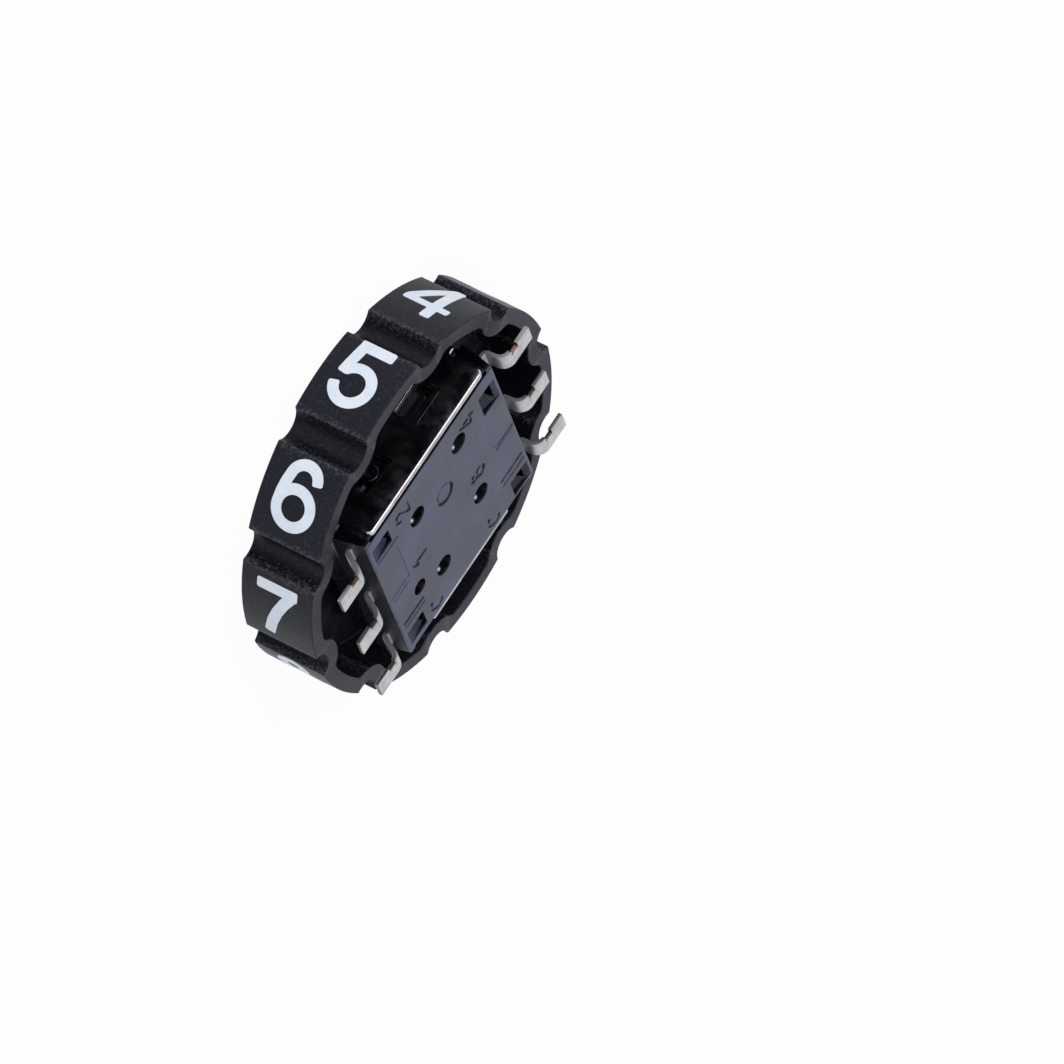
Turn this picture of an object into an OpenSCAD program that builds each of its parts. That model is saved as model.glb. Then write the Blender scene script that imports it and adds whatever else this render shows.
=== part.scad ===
// Board-mounted rotary code switch with a large numbered thumbwheel.
// The closed face of the wheel lies at z = 0 and the solder feet point up, to +Z.
// The wheel turns about the Z axis. Three terminals stand along each Y side. Millimetres.

/* [Thumbwheel] */
// Outer diameter of the thumbwheel
wheel_d = 11.8; // [11.4:0.1:16]
// Width of the rim, from the closed face to its open edge
rim_w = 2.4; // [2.2:0.05:3]
// Wall of the rim
rim_wall = 0.48; // [0.36:0.02:0.6]
// Thickness of the closed face
face_t = 0.6; // [0.5:0.05:0.9]
// Radius of the grip grooves between the numerals
groove_r = 0.5; // [0.35:0.05:0.6]
// How far a groove's centre lies outside the rim
groove_out = 0.1; // [0.05:0.05:0.2]
// Rounding of a groove's mouth
mouth_r = 0.06; // [0.03:0.01:0.1]
// Fillet where the wall behind a groove meets the rim
blend_r = 0.35; // [0.15:0.05:0.4]
// Diameter of the finger window through the closed face
window_d = 2.6; // [2:0.1:2.8]
// Distance of the window from the axis
window_pitch = 3.7; // [3.4:0.1:3.9]
// Diameter of the gate recess in the closed face
gate_d = 2.2; // [1.2:0.1:2.2]
// Depth of the gate recess
gate_depth = 0.35; // [0.1:0.05:0.35]
// Distance of the gate recess from the axis
gate_pitch = 2.6; // [2.5:0.05:3.6]

/* [Numerals] */
// Height of a numeral, around the rim
digit_h = 2.1; // [1.6:0.05:2.2]
// Width of a numeral, along the axis
digit_w = 1.45; // [1.2:0.05:1.6]
// Stroke width
stroke = 0.35; // [0.25:0.05:0.4]
// Depth of the filled engraving
engrave = 0.12; // [0.05:0.01:0.2]
// Height of the numerals' middle above the closed face
digit_z = 1.16; // [1.1:0.02:1.3]
// Turn of each numeral from the middle of its sector, in degrees
digit_turn = 2.4; // [0:0.1:3]

/* [Cover] */
// Outer width of the cover, over its two flaps
cover_w = 6.8; // [6.4:0.1:7]
// Length of the cover plate
cover_l = 6.3; // [6:0.1:6.5]
// Length of the flaps at their free edge
flap_l = 5.8; // [5.2:0.1:6]
// Length of the far flap's free edge
far_edge_l = 3.9; // [3.2:0.1:4.4]
// Height that the far flap's corners are cut down
far_drop = 0.25; // [0.1:0.05:0.4]
// Sheet thickness
sheet_t = 0.2; // [0.12:0.01:0.25]
// Inner radius of the folds
fold_r = 0.2; // [0.1:0.05:0.3]
// Gap between the wheel's closed face and the cover plate
plate_gap = 0.25; // [0.15:0.05:0.4]
// Length of a latch window
latch_l = 1.25; // [1:0.05:1.4]
// Distance between the latch windows
latch_gap = 1.25; // [1:0.05:1.6]
// Height of a latch window
latch_h = 0.8; // [0.6:0.05:0.9]
// Distance of the latch windows from the free edge
latch_edge = 0.74; // [0.65:0.02:0.8]

/* [Base] */
// Height of the base
base_h = 1.95; // [1.9:0.05:2.4]
// Length of the base, between the rows of terminals
base_l = 6.5; // [6.4:0.05:6.8]
// Wall of the base
base_wall = 0.42; // [0.35:0.01:0.5]
// Thickness of the base's floor, at the board side
floor_t = 0.65; // [0.6:0.05:0.8]
// Chamfer along the board side
base_chamfer = 0.15; // [0.05:0.05:0.2]
// How far the ends flare out, down to where the terminals leave them
end_flare = 0.2; // [0.05:0.05:0.2]
// How far the latches stand out
latch_out = 0.16; // [0.1:0.01:0.2]
// Diameter of the holes over the leads
pin_mark_d = 0.65; // [0.5:0.05:0.7]
// Diameter of the single hole beside them
vent_d = 0.5; // [0.4:0.05:0.6]
// Diameter of the round inset
inset_d = 0.75; // [0.5:0.05:0.8]
// Depth of the grooves and shallow panels
panel_depth = 0.05; // [0.02:0.01:0.08]
// Depth of the corner slots
slot_depth = 0.3; // [0.2:0.05:0.4]

/* [Terminals] */
// Pitch of the terminals
pitch = 2.54; // [2.4:0.02:2.54]
// Width of a terminal
lead_w = 0.62; // [0.4:0.02:0.64]
// Thickness of a terminal
lead_t = 0.15; // [0.1:0.01:0.2]
// Distance over the tips of both rows
tip_span = 9.72; // [9.4:0.05:10.4]
// Height of the feet above the base
standoff = 0.15; // [0.05:0.05:0.4]
// Straight length of a lead outside the base
lead_exit = 0.25; // [0.15:0.05:0.3]
// Angle of the rising part in the row of 1 and 2, in degrees
rise_angle = 65; // [55:1:70]
// Angle of the rising part in the row of 4 and 8, in degrees
square_angle = 86; // [65:1:88]
// Radius of the lower bend, at mid thickness
low_bend_r = 0.16; // [0.15:0.01:0.2]
// Radius of the upper bend, at mid thickness
top_bend_r = 0.34; // [0.2:0.01:0.36]
// Length of the trimmed notch in each foot
trim_l = 0.32; // [0.2:0.02:0.4]
// Depth of that notch
trim_depth = 0.15; // [0.05:0.01:0.2]

/* [Rotor] */
// Diameter of the rotor's notched disc
rotor_d = 4.4; // [4.2:0.1:4.5]
// Room for the wiper, from the disc to the contact face
wiper_room = 0.28; // [0.24:0.02:0.36]
// Diameter of the neck that passes through the cover
neck_d = 2.8; // [2.7:0.05:2.9]
// Side of the square drive in the wheel
drive_w = 1.86; // [1.8:0.02:1.9]
// Length of the square drive
drive_l = 0.35; // [0.25:0.05:0.4]
// Diameter of the shaft hole
shaft_hole_d = 1.4; // [1:0.05:1.5]
// Radius of the detent notches
detent_r = 0.36; // [0.32:0.01:0.4]
// How far a detent notch's centre lies outside the disc
detent_out = 0.15; // [0.1:0.01:0.2]
// Section diameter of the O-ring
ring_d = 0.38; // [0.3:0.02:0.4]

/* [Springs] */
// Thickness of the detent leaf
leaf_t = 0.1; // [0.06:0.01:0.12]
// Width of the detent leaf
leaf_w = 0.5; // [0.4:0.05:0.5]
// Outer radius of the leaf's nose
nose_r = 0.28; // [0.24:0.01:0.3]
// Thickness of the wiper
wiper_t = 0.08; // [0.05:0.01:0.1]
// Width of the wiper's arms
wiper_w = 0.35; // [0.25:0.05:0.4]

/* [Clearances] */
// Clearance of fixed fits, each side
fit_gap = 0.02; // [0.01:0.005:0.03]
// Clearance of running fits, each side
run_gap = 0.05; // [0.03:0.01:0.08]

/* [Hidden] */
$fn = 96;
positions = 10;
step = 360 / positions;
over = 0.5;                                   // how far a cut runs past a face
hair = 0.003;                                 // gap between a fillet and the curves that it joins
lap = 0.01;                                   // overlap that joins the rise of a lead to its bends

wheel_r = wheel_d / 2;
cavity_r = wheel_r - rim_wall;
groove_pitch = wheel_r + groove_out;
back_r = groove_r + rim_wall;                 // wall of even thickness behind a groove

cover_z = face_t + plate_gap;                 // wheel side of the cover plate
base_z = cover_z + sheet_t;                   // wheel side of the base
top_z = base_z + base_h;                      // board side of the base and the flaps' edge
contact_z = top_z - floor_t;                  // contact face inside the base
foot_z = top_z + standoff;                    // soldering plane

base_w = cover_w - 2 * (sheet_t + fit_gap);
room_w = base_w - 2 * base_wall;
room_l = base_l - 2 * base_wall;
latch_z = top_z - latch_edge;                 // board-side edge of the latch windows
latch_y = (latch_l + latch_gap) / 2;

neck_r = neck_d / 2;
rotor_r = rotor_d / 2;
ring_r = neck_r + fit_gap + ring_d / 2;
disc_z = base_z + ring_d + 2 * fit_gap;       // wheel side of the rotor's disc
disc_top = contact_z - wiper_room;
rotor_t = disc_top - disc_z;                  // the disc fills what the ring and the wiper leave
nose_x = rotor_r + detent_out - detent_r + fit_gap + nose_r;
leaf_x = nose_x + leaf_t / 2;                 // outer face of the leaf's flat arms
wiper_top = contact_z - run_gap;
pad_in = 0.9;                                 // where the contact arms end, from the middle
arm_y = 1.2;                                  // middle of the contact arms

// Middles of the marks in the base's board side
pin_marks = [[-2.05, 1.12], [1, 1.2], [-1.6, -1.17], [1.62, -0.98]];
vent_at = [1.15, -2.03];
inset_at = [-0.93, 0.03];
slot_x = [-2.3, 2.55];
slot_w = 0.6;
slot_l = 0.75;
slot_end = 0.15;                              // from a corner slot to the end of the base
key_x = [-1.8, 1.85];                         // grooves beside the outer terminals
seam_x = [-1.35, 0.2];                        // fine grooves that part the end panels
panel_l = 0.95;                               // length of the end panels

// ---- shapes shared by several pieces ----

// Slab centred on a point in x and y, that starts at its z
module slab(size, at) {
    translate([at[0] - size[0] / 2, at[1] - size[1] / 2, at[2]]) cube(size);
}

// The same, but it hangs from its z, so that its upper face is exactly there
module hung_slab(size, at) {
    translate(at) mirror([0, 0, 1]) slab(size, [0, 0, 0]);
}

// Flat wedge from angle a0 to a1 that covers radius r
module wedge(r, a0, a1) {
    n = ceil((a1 - a0) / 45);
    polygon(concat([[0, 0]],
        [for (i = [0:n]) 1.3 * r * [cos(a0 + (a1 - a0) * i / n), sin(a0 + (a1 - a0) * i / n)]]));
}

// Part of a flat ring of mid radius r and width w
module arc_band(r, w, a0, a1) {
    intersection() {
        difference() {
            circle(r + w / 2);
            circle(r - w / 2);
        }
        wedge(r + w, a0, a1);
    }
}

// Straight flat band of width w between two points
module band(p, q, w) {
    d = q - p;
    translate(p) rotate(atan2(d[1], d[0])) translate([0, -w / 2]) square([norm(d), w]);
}

// What a fillet of radius f adds or takes where a circle of radius rc, centred on x = d,
// crosses a circle of radius r about the origin, on both sides of the x axis.
// It ends a hair short of both circles, because curves that only just touch make ragged edges.
module corner_blend(r, d, rc, f) {
    fillet_r = r - f - hair;
    reach = rc + f + hair;
    a = acos((fillet_r * fillet_r + d * d - reach * reach) / (2 * fillet_r * d));
    b = acos((r * r + d * d - rc * rc) / (2 * r * d));
    centre = fillet_r * [cos(a), sin(a)];
    corner = r * [cos(b), sin(b)];
    for (side = [0, 1]) mirror([0, side]) difference() {
        polygon([centre, centre + 1.3 * f * [cos(a), sin(a)],
                 centre + 1.4 * (corner - centre),
                 centre + 1.3 * f * ([d, 0] - centre) / reach]);
        translate(centre) circle(f);
    }
}

// ---- thumbwheel ----

module at_grooves() {
    for (i = [0:positions - 1]) rotate((i + 0.5) * step) children();
}

module rim_outline() {
    difference() {
        circle(wheel_r);
        at_grooves() {
            translate([groove_pitch, 0]) circle(groove_r);
            corner_blend(wheel_r, groove_pitch, groove_r, mouth_r);
        }
    }
}

module cavity_outline() {
    difference() {
        circle(cavity_r);
        at_grooves() {
            translate([groove_pitch, 0]) circle(back_r);
            corner_blend(cavity_r, groove_pitch, back_r, blend_r);
        }
    }
}

// Each numeral is drawn about its middle, x to its right and y to its top
bar_y = digit_h / 2 - stroke / 2;
bowl_r = (digit_w - stroke) / 2;
bowl_y = digit_h / 2 - digit_w / 2;

module digit_0() {
    for (s = [0, 1]) rotate(180 * s) {
        translate([0, bowl_y]) arc_band(bowl_r, stroke, 0, 180);
        band([bowl_r, -bowl_y], [bowl_r, bowl_y], stroke);
    }
}

module digit_1() {
    band([0.1 * digit_w, -digit_h / 2], [0.1 * digit_w, digit_h / 2], stroke);
    band([-0.28 * digit_w, bar_y - 0.42 * digit_w], [0.06 * digit_w, bar_y], stroke);
}

module digit_2() {
    foot = [-bowl_r, -bar_y];
    translate([0, bowl_y]) arc_band(bowl_r, stroke, -35, 170);
    band(foot, [0, bowl_y] + bowl_r * [cos(-30), sin(-30)], stroke);
    band([-digit_w / 2, -bar_y], [digit_w / 2, -bar_y], stroke);
}

module digit_3() {
    upper = 0.24 * digit_h - stroke / 4;
    lower = digit_h / 2 - stroke / 2 - upper;
    translate([0, bar_y - upper]) arc_band(upper, stroke, -90, 155);
    translate([0, lower - bar_y]) arc_band(lower, stroke, -155, 90);
}

module digit_4() {
    stem_x = 0.15 * digit_w;
    bar = -0.15 * digit_h;
    band([stem_x, -digit_h / 2], [stem_x, digit_h / 2], stroke);
    band([-0.54 * digit_w, bar], [0.46 * digit_w, bar], 0.9 * stroke);
    band([-0.44 * digit_w, bar], [stem_x, digit_h / 2 - 0.4 * stroke], 0.9 * stroke);
}

module digit_5() {
    top_left = [-0.4 * digit_w, digit_h / 2];
    band([-0.41 * digit_w, bar_y], [0.42 * digit_w, bar_y], stroke);
    band(top_left + [stroke / 2, 0], [-0.35 * digit_w, -0.05 * digit_h], stroke);
    translate([0, -bowl_y]) arc_band(bowl_r, stroke, -173, 150);
}

module digit_6() {
    translate([0, -bowl_y]) arc_band(bowl_r, stroke, 0, 360);
    band([-bowl_r, -bowl_y], [-bowl_r, bowl_y], stroke);
    translate([0, bowl_y]) arc_band(bowl_r, stroke, 15, 180);
}

module digit_7() {
    band([-digit_w / 2 + 0.05, bar_y], [digit_w / 2, bar_y], stroke);
    band([-0.2 * digit_w, -digit_h / 2], [0.38 * digit_w, bar_y], stroke);
}

module digit_8() {
    upper = 0.17 * digit_h;
    lower = digit_h / 2 - stroke / 2 - upper;
    translate([0, bar_y - upper]) arc_band(upper, stroke, 0, 360);
    translate([0, lower - bar_y]) arc_band(lower, stroke, 0, 360);
}

module digit(n) {
    if (n == 0) digit_0();
    if (n == 1) digit_1();
    if (n == 2) digit_2();
    if (n == 3) digit_3();
    if (n == 4) digit_4();
    if (n == 5) digit_5();
    if (n == 6) digit_6();
    if (n == 7) digit_7();
    if (n == 8) digit_8();
    if (n == 9) rotate(180) digit_6();
}

// The filled part of one numeral: it follows the rim, with its top towards the numeral before
module numeral(n) {
    intersection() {
        rotate(n * step - digit_turn) translate([wheel_r - rim_wall, 0, digit_z])
            rotate([0, -90, 180]) linear_extrude(rim_wall + over) digit(n);
        difference() {
            cylinder(r = wheel_r, h = rim_w);
            translate([0, 0, -over]) cylinder(r = wheel_r - engrave, h = rim_w + 2 * over);
        }
    }
}

module thumbwheel() {
    color([0.09, 0.09, 0.1]) difference() {
        linear_extrude(rim_w) rim_outline();
        translate([0, 0, face_t]) linear_extrude(rim_w) cavity_outline();
        translate([0, 0, -over]) cylinder(d = shaft_hole_d, h = face_t + 2 * over);
        slab([drive_w + 2 * fit_gap, drive_w + 2 * fit_gap, face_t], [0, 0, face_t - drive_l]);
        rotate(-90) translate([window_pitch, 0, -over]) cylinder(d = window_d, h = face_t + 2 * over);
        translate([-gate_pitch, 0, -over]) cylinder(d = gate_d, h = gate_depth + over);
        for (n = [0:positions - 1]) numeral(n);
    }
}

module numerals() {
    color([0.9, 0.93, 0.96]) for (n = [0:positions - 1]) numeral(n);
}

// ---- rotor and its rings and springs ----

module rotor() {
    color([0.14, 0.14, 0.15]) difference() {
        union() {
            slab([drive_w, drive_w, drive_l + over], [0, 0, face_t - drive_l]);
            translate([0, 0, face_t]) cylinder(r = neck_r, h = disc_z - face_t);
            translate([0, 0, disc_z]) linear_extrude(rotor_t) difference() {
                circle(rotor_r);
                for (i = [0:positions - 1])
                    rotate(i * step) translate([rotor_r + detent_out, 0]) circle(detent_r);
            }
            translate([0, 0, disc_top]) cylinder(d = shaft_hole_d - 2 * fit_gap, h = wiper_t + run_gap);
        }
        translate([0, 0, -over]) cylinder(d = shaft_hole_d, h = disc_z + rotor_t / 2 + over);
    }
}

module o_ring() {
    color([0.2, 0.2, 0.2]) translate([0, 0, base_z + fit_gap + ring_d / 2])
        rotate_extrude() translate([ring_r, 0]) circle(d = ring_d, $fn = 32);
}

// Contact spring: a flat ring on the rotor with three arms that reach the contact face
module wiper() {
    root_r = 0.3 * rotor_d;
    tip_r = 0.4 * rotor_d;
    tip = wiper_t * 0.7;
    color([0.83, 0.66, 0.32]) translate([0, 0, disc_top]) {
        difference() {
            cylinder(r = root_r, h = wiper_t);
            translate([0, 0, -over]) cylinder(d = shaft_hole_d, h = wiper_t + 2 * over);
        }
        for (i = [0:2]) rotate(120 * i + 90) rotate([90, 0, 0]) translate([0, 0, -wiper_w / 2])
            linear_extrude(wiper_w) {
                polygon([[root_r - wiper_w / 2, 0], [root_r - wiper_w / 2, wiper_t],
                         [tip_r, wiper_top - disc_top - tip],
                         [tip_r, wiper_top - disc_top - tip - wiper_t]]);
                translate([tip_r, wiper_top - disc_top - tip]) circle(tip);
            }
    }
}

// Leaf spring across the inside of the base, with a round nose in a detent notch
module detent_spring() {
    arm_end = room_l / 2 - fit_gap;
    color([0.75, 0.75, 0.76]) translate([0, 0, disc_z + (rotor_t - leaf_w) / 2])
        linear_extrude(leaf_w) {
            translate([nose_x, 0]) arc_band(nose_r - leaf_t / 2, leaf_t, 90, 270);
            for (s = [-1, 1])
                band([nose_x, s * (nose_r - leaf_t)], [nose_x, s * arm_end], leaf_t);
        }
}

// ---- cover ----

// Section of the folded cover, with its plate at the bottom
module cover_section() {
    r_out = fold_r + sheet_t;
    difference() {
        union() {
            translate([-cover_w / 2, cover_z + r_out]) square([cover_w, top_z - cover_z - r_out]);
            translate([-cover_w / 2 + r_out, cover_z]) square([cover_w - 2 * r_out, r_out]);
            for (s = [-1, 1]) translate([s * (cover_w / 2 - r_out), cover_z + r_out]) circle(r_out);
        }
        translate([-cover_w / 2 + sheet_t, base_z + fold_r])
            square([cover_w - 2 * sheet_t, base_h]);
        translate([-cover_w / 2 + r_out, base_z]) square([cover_w - 2 * r_out, r_out]);
        for (s = [-1, 1]) translate([s * (cover_w / 2 - r_out), cover_z + r_out]) circle(fold_r);
    }
}

module metal_cover() {
    shoulder_z = latch_z - latch_h / 2;
    side_cut = (cover_l - flap_l) / 2;
    drop_cut = (cover_l - far_edge_l) / 2;
    color([0.78, 0.78, 0.8]) difference() {
        rotate([90, 0, 0]) translate([0, 0, -cover_l / 2]) linear_extrude(cover_l) cover_section();
        translate([0, 0, cover_z - over]) cylinder(r = neck_r + run_gap, h = sheet_t + 2 * over);
        for (s = [-1, 1]) {
            slab([cover_w + over, side_cut, base_h], [0, s * (cover_l - side_cut) / 2, shoulder_z]);
            slab([2 * over, drop_cut, far_drop + over],
                 [cover_w / 2, s * (cover_l - drop_cut) / 2, top_z - far_drop]);
            slab([cover_w + over, latch_l, latch_h], [0, s * latch_y, latch_z - latch_h]);
        }
    }
}

// ---- base ----

// Section across the base: chamfered at the board side, rounded off inside the cover's folds
module base_section() {
    w = base_w / 2;
    low = fold_r + fit_gap;
    polygon([[-w + low, base_z], [w - low, base_z], [w, base_z + low],
             [w, top_z - base_chamfer], [w - base_chamfer, top_z],
             [-w + base_chamfer, top_z], [-w, top_z - base_chamfer], [-w, base_z + low]]);
}

// Snap latch of the base in a window of the cover: flat towards the board, sloped below
module latch(side, y) {
    w = base_w / 2;
    mirror([side < 0 ? 1 : 0, 0, 0])
        translate([0, y + latch_l / 2 - fit_gap * 2, 0]) rotate([90, 0, 0])
            linear_extrude(latch_l - fit_gap * 4)
                polygon([[w - over / 2, latch_z - fit_gap], [w + latch_out, latch_z - fit_gap],
                         [w + latch_out, latch_z - 0.3 * latch_h], [w, latch_z - latch_h + 2 * fit_gap],
                         [w - over / 2, latch_z - latch_h + 2 * fit_gap]]);
}

// Flare of an end: it slopes from the chamfer to the board side of the terminals
module flare() {
    y = base_l / 2;
    low = contact_z - 0.3;
    translate([-base_w / 2, 0, 0]) rotate([90, 0, 90]) linear_extrude(base_w)
        polygon([[y - over / 2, low], [y, low], [y + end_flare, low + end_flare],
                 [y + end_flare, contact_z + lead_t], [y, top_z - base_chamfer],
                 [y - over / 2, top_z - base_chamfer]]);
}

// The flat run of a terminal inside the base, with its contact arm
module lead_inside(x) {
    reach = abs(x) < pitch / 2 ? pad_in : arm_y - lead_w / 2;
    slab([lead_w, base_l / 2 - reach, lead_t], [x, (base_l / 2 + reach) / 2, contact_z]);
    if (abs(x) > pitch / 2)
        slab([abs(x) - pad_in, lead_w, lead_t],
             [sign(x) * (abs(x) + pad_in) / 2, arm_y, contact_z]);
}

// Slot at a corner of the board side, with a floor that falls towards the middle
module corner_slot(x, w, y_in, y_out) {
    translate([x + w / 2, 0, top_z]) rotate([0, 0, 180]) rotate([90, 0, 90]) linear_extrude(w)
        polygon([[-y_out, over], [-y_out, -0.3 * slot_depth], [-y_in, -slot_depth], [-y_in, over]]);
}

// Shallow groove in the board side
module face_groove(x0, y0, x1, y1) {
    translate([x0, y0, top_z - panel_depth]) cube([x1 - x0, y1 - y0, over]);
}

module board_side_cuts() {
    end = base_l / 2;
    for (p = pin_marks)
        translate([p[0], p[1], contact_z + lead_t]) cylinder(d = pin_mark_d, h = floor_t);
    translate([vent_at[0], vent_at[1], top_z - slot_depth]) cylinder(d = vent_d, h = slot_depth + over);
    translate([inset_at[0], inset_at[1], top_z - panel_depth]) cylinder(d = inset_d, h = over);
    for (x = slot_x, s = [0, 1])
        mirror([0, s, 0]) corner_slot(x, slot_w, end - slot_end - slot_l, end - slot_end);
    for (x = key_x) {
        face_groove(x - 0.18, end - 1.2, x + 0.12, end - 0.1);
        face_groove(x - 0.1, 0.1 - end, x + 0.06, 1.2 - end);
    }
    for (x = seam_x) {
        face_groove(x, end - panel_l, x + 0.07, end + over);
        face_groove(x + 0.02, -end - over, x + 0.09, panel_l + 0.05 - end);
    }
    face_groove(seam_x[0], panel_l - end, 1.5, panel_l + 0.07 - end);
}

module base() {
    room_z = base_z - over;
    rib_l = 0.35;
    color([0.27, 0.27, 0.3]) difference() {
        union() {
            rotate([90, 0, 0]) translate([0, 0, -base_l / 2]) linear_extrude(base_l) base_section();
            for (side = [-1, 1], s = [-1, 1]) latch(side, s * latch_y);
            for (s = [0, 1]) mirror([0, s, 0]) flare();
        }
        difference() {
            hung_slab([room_w, room_l, contact_z - room_z], [0, 0, contact_z]);
            for (s = [-1, 1])
                slab([room_w, rib_l, base_h], [leaf_x + room_w / 2, s * (room_l - rib_l) / 2, disc_z]);
        }
        for (s = [0, 1], x = [-pitch, 0, pitch]) mirror([0, s, 0]) {
            lead_inside(x);
            slab([lead_w, 2 * lead_exit, lead_t], [x, base_l / 2, contact_z]);
        }
        board_side_cuts();
    }
}

// ---- terminals ----

// Side view of a terminal outside the base: y outwards, z to the board
module lead_section(angle) {
    low_z = contact_z + lead_t / 2;
    high_z = foot_z - lead_t / 2;
    low_y = base_l / 2 + lead_exit;
    bends = low_bend_r + top_bend_r;
    rise = (high_z - low_z - bends * (1 - cos(angle))) / sin(angle);
    high_y = low_y + bends * sin(angle) + rise * cos(angle);
    up = [cos(angle), sin(angle)];
    rise_start = [low_y + low_bend_r * up[1], low_z + low_bend_r * (1 - up[0])];
    band([base_l / 2 - base_wall, low_z], [low_y, low_z], lead_t);
    translate([low_y, low_z + low_bend_r]) arc_band(low_bend_r, lead_t, -90, angle - 90);
    band(rise_start - lap * up, rise_start + (rise + lap) * up, lead_t);
    translate([high_y, high_z - top_bend_r]) arc_band(top_bend_r, lead_t, 90, 90 + angle);
    band([high_y, high_z], [tip_span / 2, high_z], lead_t);
}

// One stamped terminal: contact arm, bent lead and solder foot. side is 1 or -1 in y.
module terminal(x, side) {
    trim_y = base_l / 2 + lead_exit + top_bend_r + trim_l;
    color([0.8, 0.8, 0.81]) mirror([0, side < 0 ? 1 : 0, 0]) {
        lead_inside(x);
        difference() {
            translate([x - lead_w / 2, 0, 0]) rotate([90, 0, 90]) linear_extrude(lead_w)
                lead_section(side < 0 ? rise_angle : square_angle);
            slab([2 * trim_depth, trim_l, over * 2], [x - lead_w / 2, trim_y, top_z - over]);
        }
    }
}

module terminal_1() { terminal(0, -1); }
module terminal_2() { terminal(-pitch, -1); }
module terminal_4() { terminal(-pitch, 1); }
module terminal_8() { terminal(0, 1); }
module terminal_common_a() { terminal(pitch, 1); }
module terminal_common_b() { terminal(pitch, -1); }

thumbwheel();
numerals();
rotor();
o_ring();
wiper();
detent_spring();
metal_cover();
base();
terminal_1();
terminal_2();
terminal_4();
terminal_8();
terminal_common_a();
terminal_common_b();
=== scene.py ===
"""Looks of a board-mounted rotary code switch with a large numbered thumbwheel.

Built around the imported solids, in metres. The closed face of the wheel lies on z = 0,
the wheel turns about Z, and the solder feet point up.
"""

import contextlib
import math

import bmesh
import bpy
from mathutils import Matrix, Vector


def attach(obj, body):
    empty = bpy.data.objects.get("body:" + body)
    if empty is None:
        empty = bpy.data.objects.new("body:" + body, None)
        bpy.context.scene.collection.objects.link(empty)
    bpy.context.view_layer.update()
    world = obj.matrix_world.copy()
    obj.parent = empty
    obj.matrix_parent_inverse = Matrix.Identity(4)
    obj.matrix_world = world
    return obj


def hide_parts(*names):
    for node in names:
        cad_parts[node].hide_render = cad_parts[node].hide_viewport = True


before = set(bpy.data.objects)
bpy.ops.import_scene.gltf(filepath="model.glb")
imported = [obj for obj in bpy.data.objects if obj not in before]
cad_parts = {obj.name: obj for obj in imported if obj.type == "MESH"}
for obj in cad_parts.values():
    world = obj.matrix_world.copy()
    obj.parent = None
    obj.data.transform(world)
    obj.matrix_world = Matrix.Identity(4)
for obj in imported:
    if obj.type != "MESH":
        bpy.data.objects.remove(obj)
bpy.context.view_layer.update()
MM = 0.001


# ---- Metal cover ----
# A strip of bright tin-plated steel, folded to a channel. Its plate carries the rotor's neck,
# its two flaps clip over the latches of the base, and all its edges are sheared.

def select_only(piece):
    """Leaves one piece selected, because an operator acts on all that is."""
    bpy.ops.object.select_all(action="DESELECT")
    piece.select_set(True)
    bpy.context.view_layer.objects.active = piece


@contextlib.contextmanager
def editing(piece, mode="FACE"):
    """Edit mode on one piece, with nothing selected in it."""
    select_only(piece)
    bpy.ops.object.mode_set(mode="EDIT")
    bpy.ops.mesh.select_mode(type=mode)
    bpy.ops.mesh.select_all(action="DESELECT")
    yield
    bpy.ops.object.mode_set(mode="OBJECT")


def pick_faces(test):
    """Selects the faces whose middle, in mm, and normal pass the test."""
    bpy.ops.mesh.select_all(action="DESELECT")
    mesh = bpy.context.edit_object.data
    for face in bmesh.from_edit_mesh(mesh).faces:
        if test(face.calc_center_median() / MM, face.normal):
            face.select_set(True)
    bmesh.update_edit_mesh(mesh)


def pick_edges(test):
    """Selects the edges whose middle, in mm, and direction pass the test."""
    bpy.ops.mesh.select_all(action="DESELECT")
    mesh = bpy.context.edit_object.data
    for edge in bmesh.from_edit_mesh(mesh).edges:
        a, b = edge.verts[0].co, edge.verts[1].co
        if test((a + b) / 2 / MM, (b - a).normalized()):
            edge.select_set(True)
    bmesh.update_edit_mesh(mesh)


def settle(piece):
    """Puts a new piece's place, turn and size in its mesh."""
    select_only(piece)
    bpy.ops.object.transform_apply(location=True, rotation=True, scale=True)
    return piece


def block(name, low, high):
    """A box from its low to its high corner, in mm."""
    middle = [(a + b) / 2 * MM for a, b in zip(low, high)]
    bpy.ops.object.select_all(action="DESELECT")
    bpy.ops.mesh.primitive_cube_add(size=1, location=middle)
    piece = bpy.context.active_object
    piece.name = name
    piece.scale = [(b - a) * MM for a, b in zip(low, high)]
    return settle(piece)


def peg(name, middle, radius, low, high, sides=48):
    """An upright round peg between two heights, in mm."""
    bpy.ops.object.select_all(action="DESELECT")
    bpy.ops.mesh.primitive_cylinder_add(
        vertices=sides, radius=radius * MM, depth=(high - low) * MM,
        location=(middle[0] * MM, middle[1] * MM, (low + high) / 2 * MM))
    piece = bpy.context.active_object
    piece.name = name
    return settle(piece)


def round_edges(piece, test, width, steps=3):
    """Rounds the edges that pass the test."""
    with editing(piece, "EDGE"):
        pick_edges(test)
        bpy.ops.mesh.bevel(offset=width * MM, segments=steps, affect="EDGES")
    return piece


def push(x=0.0, y=0.0, z=0.0):
    """Extrudes what is selected, in mm."""
    bpy.ops.mesh.extrude_region_move(
        TRANSFORM_OT_translate={"value": (x * MM, y * MM, z * MM)})


def sweep(centre, axis, angle, steps):
    """Spins what is selected round a centre, in mm and degrees, right-handed about the axis.
    With no window the operator turns the other way."""
    bpy.ops.mesh.spin(steps=steps, angle=-math.radians(angle), axis=axis,
                      center=[c * MM for c in centre])


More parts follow.
